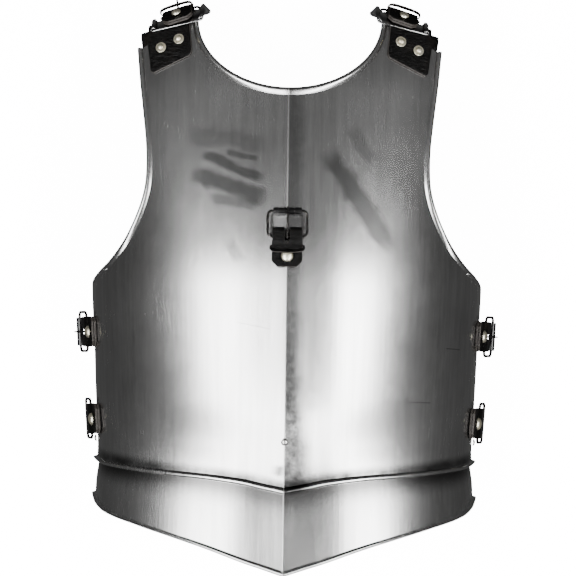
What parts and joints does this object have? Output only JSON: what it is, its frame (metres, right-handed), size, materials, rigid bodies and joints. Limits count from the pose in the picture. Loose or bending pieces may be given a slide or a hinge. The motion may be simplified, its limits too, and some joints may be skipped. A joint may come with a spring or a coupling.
{
  "type": "cuirass breastplate",
  "caption": "Steel cuirass breastplate with a sharp centre keel, turned edges and a riveted waist lame, with roller buckles on folded leather at the front, sides and shoulders.",
  "frame": {"origin": "under the middle of the outline's box, on the ground plane that the side edges of the plate stand on", "axes": "+X across the chest to the wearer's left, +Y from the waist to the neck, +Z forward out of the chest, up from the ground as it lies on its open back"},
  "size_m": [0.4126, 0.5624, 0.1807],
  "materials": {
    "steel": "satin steel, finely cross-brushed, faint scratches and finger marks",
    "nickel": "pale nickel-plated rivet heads and washers",
    "dark_wire": "dark nickel-plated steel wire",
    "black_roller": "black lacquered steel tube",
    "leather": "black smooth strap leather with cut edges"
  },
  "bodies": {
    "cuirass": {"breastplate": "steel", "waist_lame": "steel", "lame_centre_rivet": "steel", "lame_left_rivet": "steel", "lame_right_rivet": "steel", "left_shoulder_tab": "leather", "left_shoulder_liner": "leather", "left_shoulder_lame": "steel", "left_shoulder_inner_rivet": "nickel", "left_shoulder_outer_rivet": "nickel", "left_shoulder_inner_washer": "nickel", "left_shoulder_outer_washer": "nickel", "left_shoulder_buckle_chape": "leather", "left_shoulder_buckle_keeper": "leather", "left_shoulder_buckle_rivet": "nickel", "left_shoulder_buckle_frame": "dark_wire", "right_shoulder_tab": "leather", "right_shoulder_liner": "leather", "right_shoulder_lame": "steel", "right_shoulder_inner_rivet": "nickel", "right_shoulder_outer_rivet": "nickel", "right_shoulder_inner_washer": "nickel", "right_shoulder_outer_washer": "nickel", "right_shoulder_buckle_chape": "leather", "right_shoulder_buckle_keeper": "leather", "right_shoulder_buckle_rivet": "nickel", "right_shoulder_buckle_frame": "dark_wire", "centre_buckle_chape": "leather", "centre_buckle_keeper": "leather", "centre_buckle_rivet": "nickel", "centre_buckle_frame": "dark_wire", "left_side_buckle_chape": "leather", "left_side_buckle_rivet": "nickel", "left_side_buckle_frame": "dark_wire", "right_side_buckle_chape": "leather", "right_side_buckle_rivet": "nickel", "right_side_buckle_frame": "dark_wire", "left_side_tab": "leather", "left_side_tab_rivet": "nickel", "left_side_loop": "dark_wire", "right_side_tab": "leather", "right_side_tab_rivet": "nickel", "right_side_loop": "dark_wire"},
    "centre_tongue": {"centre_buckle_tongue": "dark_wire"},
    "centre_roller": {"centre_buckle_roller": "black_roller"},
    "left_side_tongue": {"left_side_buckle_tongue": "dark_wire"},
    "left_side_roller": {"left_side_buckle_roller": "black_roller"},
    "right_side_tongue": {"right_side_buckle_tongue": "dark_wire"},
    "right_side_roller": {"right_side_buckle_roller": "black_roller"},
    "left_shoulder_tongue": {"left_shoulder_buckle_tongue": "dark_wire"},
    "left_shoulder_roller": {"left_shoulder_buckle_roller": "black_roller"},
    "right_shoulder_tongue": {"right_shoulder_buckle_tongue": "dark_wire"},
    "right_shoulder_roller": {"right_shoulder_buckle_roller": "black_roller"}
  },
  "joints": [
    {"name": "centre_tongue_hinge", "type": "hinge", "parent": "cuirass", "child": "centre_tongue", "pos_m": [0, 0.04468, 0.17001], "axis": [1, 0, 0], "range_deg": [0, 105]},
    {"name": "centre_roller_turn", "type": "hinge", "parent": "cuirass", "child": "centre_roller", "pos_m": [0, 0.06923, 0.16586], "axis": [1, 0, 0], "continuous": true},
    {"name": "left_side_tongue_hinge", "type": "hinge", "parent": "cuirass", "child": "left_side_tongue", "pos_m": [-0.19249, -0.04888, 0.03278], "axis": [-0.0566, 0.9984, 0.0082], "range_deg": [0, 105]},
    {"name": "left_side_roller_turn", "type": "hinge", "parent": "cuirass", "child": "left_side_roller", "pos_m": [-0.19964, -0.04909, 0.00894], "axis": [-0.0566, 0.9984, 0.0082], "continuous": true},
    {"name": "right_side_tongue_hinge", "type": "hinge", "parent": "cuirass", "child": "right_side_tongue", "pos_m": [0.19249, -0.04888, 0.03278], "axis": [-0.0566, -0.9984, -0.0082], "range_deg": [0, 105]},
    {"name": "right_side_roller_turn", "type": "hinge", "parent": "cuirass", "child": "right_side_roller", "pos_m": [0.19964, -0.04909, 0.00894], "axis": [-0.0566, -0.9984, -0.0082], "continuous": true},
    {"name": "left_shoulder_tongue_hinge", "type": "hinge", "parent": "cuirass", "child": "left_shoulder_tongue", "pos_m": [-0.10705, 0.26034, 0.06039], "axis": [0.9434, 0.3058, 0.1288], "range_deg": [-45, 60]},
    {"name": "left_shoulder_roller_turn", "type": "hinge", "parent": "cuirass", "child": "left_shoulder_roller", "pos_m": [-0.10265, 0.25699, 0.03612], "axis": [0.9434, 0.3058, 0.1288], "continuous": true},
    {"name": "right_shoulder_tongue_hinge", "type": "hinge", "parent": "cuirass", "child": "right_shoulder_tongue", "pos_m": [0.10705, 0.26034, 0.06039], "axis": [0.9434, -0.3058, -0.1288], "range_deg": [0, 105]},
    {"name": "right_shoulder_roller_turn", "type": "hinge", "parent": "cuirass", "child": "right_shoulder_roller", "pos_m": [0.10265, 0.25699, 0.03612], "axis": [0.9434, -0.3058, -0.1288], "continuous": true}
  ]
}
